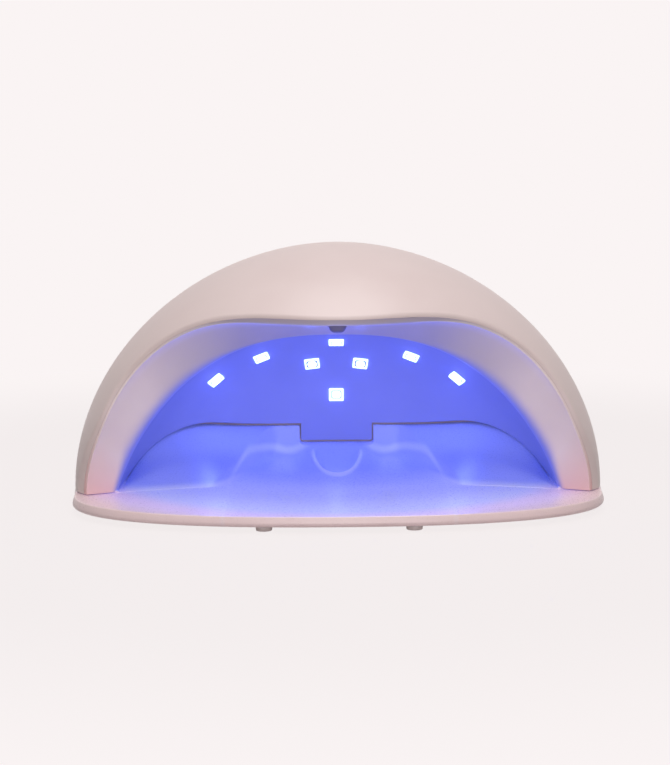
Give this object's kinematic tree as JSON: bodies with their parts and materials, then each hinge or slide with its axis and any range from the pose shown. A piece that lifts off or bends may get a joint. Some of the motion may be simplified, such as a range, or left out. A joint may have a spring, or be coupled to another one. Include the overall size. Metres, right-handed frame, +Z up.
{
  "type": "uv led nail lamp",
  "caption": "Domed nail curing lamp: a visored head with a UV reflector bowl lifts off a tray with finger bays, and has timer buttons and a display behind the crest.",
  "frame": {"origin": "middle of the footprint, on the surface that the feet stand on", "axes": "+X across the lamp to the user's right, +Y from the mouth to the back, +Z up"},
  "size_m": [0.2174, 0.1632, 0.1059],
  "materials": {
    "shell_plastic": "satin blush pink moulded plastic",
    "tray_plastic": "semi-gloss blush pink moulded plastic",
    "bezel_plastic": "satin blush pink moulded plastic",
    "reflector_plastic": "semi-gloss pale reflector plastic",
    "frame_plastic": "matt blush pink moulded plastic",
    "foot_rubber": "matt pale rubber",
    "led_lens": "clear glowing epoxy lens",
    "led_board": "white solder mask on a metal core",
    "circuit_board": "green solder mask",
    "smoked_window": "smoked polished plastic",
    "display_panel": "grey display panel",
    "button_plastic": "satin blush pink moulded plastic",
    "switch_plastic": "matt black plastic",
    "inlet_plastic": "matt black plastic",
    "screw_steel": "bright plated steel",
    "keeper_steel": "bright plated steel",
    "magnet_nickel": "nickel plated"
  },
  "bodies": {
    "tray": {"base_tray": "tray_plastic", "foot_front_left": "foot_rubber", "foot_front_right": "foot_rubber", "foot_rear_left": "foot_rubber", "foot_rear_right": "foot_rubber", "tray_magnet_1": "magnet_nickel", "tray_magnet_2": "magnet_nickel", "tray_magnet_3": "magnet_nickel", "tray_magnet_4": "magnet_nickel"},
    "lamp_head": {"outer_shell": "shell_plastic", "mouth_bezel": "bezel_plastic", "reflector_bowl": "reflector_plastic", "base_frame": "frame_plastic", "frame_screw_1": "screw_steel", "frame_screw_2": "screw_steel", "frame_screw_3": "screw_steel", "frame_screw_4": "screw_steel", "keeper_disc_1": "keeper_steel", "keeper_disc_2": "keeper_steel", "keeper_disc_3": "keeper_steel", "keeper_disc_4": "keeper_steel", "led_back": "led_lens", "led_top": "led_lens", "led_pair_left": "led_lens", "led_pair_right": "led_lens", "led_inner_left": "led_lens", "led_inner_right": "led_lens", "led_outer_left": "led_lens", "led_outer_right": "led_lens", "led_board_back": "led_board", "led_board_top": "led_board", "led_board_pair_left": "led_board", "led_board_pair_right": "led_board", "led_board_inner_left": "led_board", "led_board_inner_right": "led_board", "led_board_outer_left": "led_board", "led_board_outer_right": "led_board", "sensor_window": "smoked_window", "sensor_board": "circuit_board", "control_board": "circuit_board", "board_screw_left": "screw_steel", "board_screw_right": "screw_steel", "display_window": "smoked_window", "display_module": "display_panel", "timer_30_switch": "switch_plastic", "timer_60_switch": "switch_plastic", "timer_99_switch": "switch_plastic", "dc_inlet": "inlet_plastic", "inlet_nut": "screw_steel"},
    "button_30": {"timer_30_button": "button_plastic"},
    "button_60": {"timer_60_button": "button_plastic"},
    "button_99": {"timer_99_button": "button_plastic"}
  },
  "joints": [
    {"name": "head_lift", "type": "slide", "parent": "tray", "child": "lamp_head", "axis": [0, 0, 1], "range_m": [0, 0.06]},
    {"name": "press_30", "type": "slide", "parent": "lamp_head", "child": "button_30", "axis": [0, -0.4683, -0.8836], "range_m": [0, 0.0008], "stiffness_N_per_m": 800},
    {"name": "press_60", "type": "slide", "parent": "lamp_head", "child": "button_60", "axis": [0, -0.4683, -0.8836], "range_m": [0, 0.0008], "stiffness_N_per_m": 800},
    {"name": "press_99", "type": "slide", "parent": "lamp_head", "child": "button_99", "axis": [0, -0.4683, -0.8836], "range_m": [0, 0.0008], "stiffness_N_per_m": 800}
  ]
}
